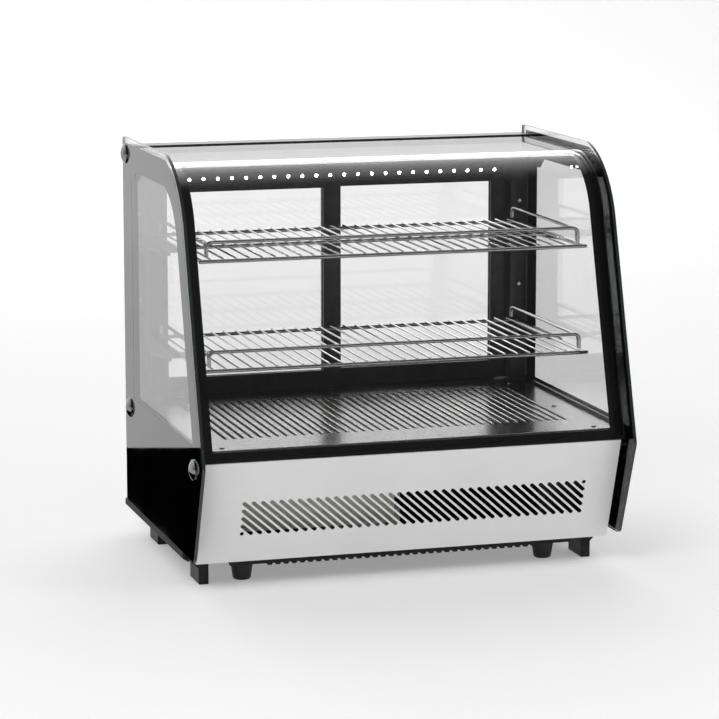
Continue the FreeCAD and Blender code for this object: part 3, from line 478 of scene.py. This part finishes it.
def lay_front_print(path):
    """The black border of the front glass: strips up the sides and over the top, and one along the foot."""
    low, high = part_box("front_glass")
    first = (path[1] - path[0]).normalized()
    path = [path[0], path[0] + first * BAND] + path[1:]
    rows = []
    for i, point in enumerate(path):
        before = point - path[max(i - 1, 0)]
        after = path[min(i + 1, len(path) - 1)] - point
        along = (before.normalized() + after.normalized()).normalized()
        inward = Vector((along.y, -along.x))
        rows.append((point + inward * PRINT_GAP, point + inward * (PRINT_GAP + PRINT_THICK)))
    columns = [low.x, low.x + STRIP, high.x - STRIP, high.x]
    bm = bmesh.new()
    for layer in (0, 1):
        grid = [[bm.verts.new((x, row[layer].x, row[layer].y)) for x in columns] for row in rows]
        for r in range(len(rows) - 1):
            for c in range(3):
                if c == 1 and r > 0:
                    continue
                bm.faces.new((grid[r][c], grid[r][c + 1], grid[r + 1][c + 1], grid[r + 1][c]))
    mesh = bm_mesh("front_print", bm)
    add_piece("front_print", mesh, PRINT, "case")


lay_front_print(front_glass_path())


# ---------------------------------------------------------------- lamp chips

CHIP_COUNT = 24
CHIP_PITCH = 24 * MM


def make_chips():
    """A dome of light over each chip of the lamp board."""
    low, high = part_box("lamp_board")
    count, pitch = CHIP_COUNT, CHIP_PITCH
    middle_x, middle_z = (low.x + high.x) / 2, (low.z + high.z) / 2
    radius = 2.3 * MM
    bm = bmesh.new()
    for i in range(count):
        x = middle_x + (i - (count - 1) / 2) * pitch
        made = bmesh.ops.create_uvsphere(bm, u_segments=16, v_segments=10, radius=radius)
        for v in made["verts"]:
            v.co = Vector((v.co.x + x, min(v.co.y * 0.8, 0.0) + low.y, v.co.z + middle_z))
    bmesh.ops.remove_doubles(bm, verts=bm.verts, dist=1e-6)
    add_piece("lamp_chips", bm_mesh("lamp_chips", bm, 60), GLOW, "case")


make_chips()


# ---------------------------------------------------------------- deck

SLOT_PITCH = 14 * MM
SLOT_COUNT = 41
SLOT_REACH = (-139 * MM, 165 * MM)
LIP_RADIUS = 1.3 * MM
LIP_OFFSET = 4.2 * MM
LIP_SINK = 0.05 * MM


def half_round(bm, start, end, radius, sides=8):
    """A raised bead with domed ends, lying along Y on the plane of its start."""
    rings = []
    stations = [(0.0, 0.05), (0.35, 0.6), (1.0, 1.0)]
    places = [(start.y + reach * radius * 3, grow) for reach, grow in stations]
    places += [(end.y - reach * radius * 3, grow) for reach, grow in reversed(stations)]
    for y, grow in places:
        ring = []
        for i in range(sides + 1):
            angle = math.pi * i / sides
            x = start.x + radius * grow * math.cos(angle)
            z = start.z + radius * grow * 0.8 * math.sin(angle)
            ring.append(bm.verts.new((x, y, z)))
        rings.append(ring)
    for a, b in zip(rings, rings[1:]):
        for i in range(sides):
            bm.faces.new((a[i], a[i + 1], b[i + 1], b[i]))
        bm.faces.new((a[0], b[0], b[sides], a[sides]))
    for ring in (rings[0], rings[-1]):
        bm.faces.new(ring)


def make_deck_lips():
    """The pressed lip on one side of each deck slot."""
    _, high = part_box("deck_panel")
    bm = bmesh.new()
    for i in range(SLOT_COUNT):
        x = (i - (SLOT_COUNT - 1) / 2) * SLOT_PITCH + LIP_OFFSET
        start = Vector((x, SLOT_REACH[0], high.z - LIP_SINK))
        half_round(bm, start, Vector((x, SLOT_REACH[1], high.z)), LIP_RADIUS)
    add_piece("deck_lips", bm_mesh("deck_lips", bm, 50), SLOT_MATERIALS["stainless"], "case")


make_deck_lips()


# ---------------------------------------------------------------- stage, lights, camera

SWEEP_FRONT = -7.0
SWEEP_TURN = 4.0
SWEEP_RADIUS = 2.0
SWEEP_BACK = SWEEP_TURN + SWEEP_RADIUS
SWEEP_TOP = 3.0
SWEEP_HALF = 8.0
SWEEP_STEPS = 12
SWEEP_SINK = 0.2 * MM
GLOW_START = 3.5


def stage_material(name, tone, glow_near=0.0, glow_far=0.0):
    """Matt paper whose glow grows from one strength near the case to another at the backdrop."""
    g = Graph(name)
    cloud = g.noise(1.5, 2)
    colour = g.blend(g.spread(cloud, 0, 1), grey(tone * 0.985), grey(tone))
    parts = g.node("SeparateXYZ")
    g.feed(parts.inputs[0], g.place())
    glow = g.spread(parts.outputs["Y"], glow_near, glow_far, GLOW_START, SWEEP_BACK)
    return g.finish(g.principled(
        Base_Color=colour, Roughness=0.7, Specular_IOR_Level=0.0,
        Emission_Color=(1, 1, 1, 1), Emission_Strength=glow))


def make_sweep():
    """A floor that turns up into a backdrop far behind."""
    profile = [(SWEEP_FRONT, 0.0), (SWEEP_TURN, 0.0)]
    for i in range(1, SWEEP_STEPS + 1):
        angle = math.pi / 2 * i / SWEEP_STEPS
        rise = SWEEP_RADIUS - SWEEP_RADIUS * math.cos(angle)
        profile.append((SWEEP_TURN + SWEEP_RADIUS * math.sin(angle), rise))
    profile.append((SWEEP_BACK, SWEEP_TOP))
    bm = bmesh.new()
    rows = [[bm.verts.new((x, y, z - SWEEP_SINK)) for x in (-SWEEP_HALF, SWEEP_HALF)] for y, z in profile]
    for a, b in zip(rows, rows[1:]):
        bm.faces.new((a[0], a[1], b[1], b[0]))
    sweep = bpy.data.objects.new("sweep", bm_mesh("sweep", bm))
    bpy.context.scene.collection.objects.link(sweep)
    dress(sweep, stage_material("StageWhite", 0.92, 0.3, 0.75))


def make_light(name, where, target, size, power, in_mirrors=False):
    """A rectangular softbox that faces a target, seen in reflections only if asked."""
    light = bpy.data.lights.new(name, "AREA")
    light.shape = "RECTANGLE"
    light.size, light.size_y = size
    light.energy = power
    made = bpy.data.objects.new(name, light)
    made.location = where
    made.visible_glossy = in_mirrors
    made.rotation_euler = (Vector(target) - Vector(where)).to_track_quat("-Z", "Y").to_euler()
    bpy.context.scene.collection.objects.link(made)


FLAG_CORNERS = [(-0.40, -0.35), (-0.80, -0.35), (-0.80, 0.845), (-0.40, 0.963)]
FLAG_HEIGHT = 0.5 * MM


def make_flag():
    """A dark card on the floor beside the case that only mirrors see."""
    bm = bmesh.new()
    bm.faces.new([bm.verts.new((x, y, FLAG_HEIGHT)) for x, y in FLAG_CORNERS])
    flag = bpy.data.objects.new("flag", bm_mesh("flag", bm))
    bpy.context.scene.collection.objects.link(flag)
    dress(flag, stage_material("FlagBlack", 0.0))
    flag.visible_camera = False
    flag.visible_diffuse = False
    flag.visible_shadow = False
    flag.visible_transmission = False


make_sweep()
make_flag()
make_light("key", (-2.6, -2.8, 3.4), (0, 0, 0.3), (2.4, 2.4), 60)
make_light("fill", (3.0, -2.6, 2.4), (0, 0, 0.3), (2.2, 2.2), 30)
make_light("rear", (0.6, 4.8, 2.65), (0, 0, 0.6), (5.0, 1.5), 65, in_mirrors=True)

WORLD_FRONT = 0.08
WORLD_BACK = 1.4
WORLD_FULL_FROM = 0.75


def make_world():
    """White light that is dim in front of the case and strong behind it."""
    world = bpy.data.worlds.new("Studio")
    bpy.context.scene.world = world
    world.use_nodes = True
    tree = world.node_tree
    background = tree.nodes["Background"]
    background.inputs["Color"].default_value = (1, 1, 1, 1)
    direction = tree.nodes.new("ShaderNodeTexCoord")
    split = tree.nodes.new("ShaderNodeSeparateXYZ")
    ramp = tree.nodes.new("ShaderNodeMapRange")
    tree.links.new(direction.outputs["Generated"], split.inputs[0])
    tree.links.new(split.outputs["Y"], ramp.inputs["Value"])
    tree.links.new(ramp.outputs["Result"], background.inputs["Strength"])
    ramp.inputs["From Min"].default_value = 0.0
    ramp.inputs["From Max"].default_value = WORLD_FULL_FROM
    ramp.inputs["To Min"].default_value = WORLD_FRONT
    ramp.inputs["To Max"].default_value = WORLD_BACK


make_world()

bpy.context.scene.view_settings.view_transform = "Standard"

CAMERA_AZIMUTH = math.radians(-16.794)
CAMERA_ELEVATION = math.radians(9.879)
CAMERA_DISTANCE = 4.8863
CAMERA_LENS = 152.08
AIM = Vector((0, -0.007, 0.331))
AIM_RIGHT, AIM_UP = -0.02278, -0.01332

camera_data = bpy.data.cameras.new("Camera")
camera_data.sensor_width = 36
camera_data.lens = CAMERA_LENS
camera = bpy.data.objects.new("Camera", camera_data)
back = Vector((math.sin(CAMERA_AZIMUTH) * math.cos(CAMERA_ELEVATION),
               -math.cos(CAMERA_AZIMUTH) * math.cos(CAMERA_ELEVATION), math.sin(CAMERA_ELEVATION)))
turn = (-back).to_track_quat("-Z", "Y")
camera.rotation_mode = "QUATERNION"
camera.rotation_quaternion = turn
camera.location = AIM + back * CAMERA_DISTANCE + turn @ Vector((AIM_RIGHT, AIM_UP, 0))
bpy.context.scene.collection.objects.link(camera)
bpy.context.scene.camera = camera
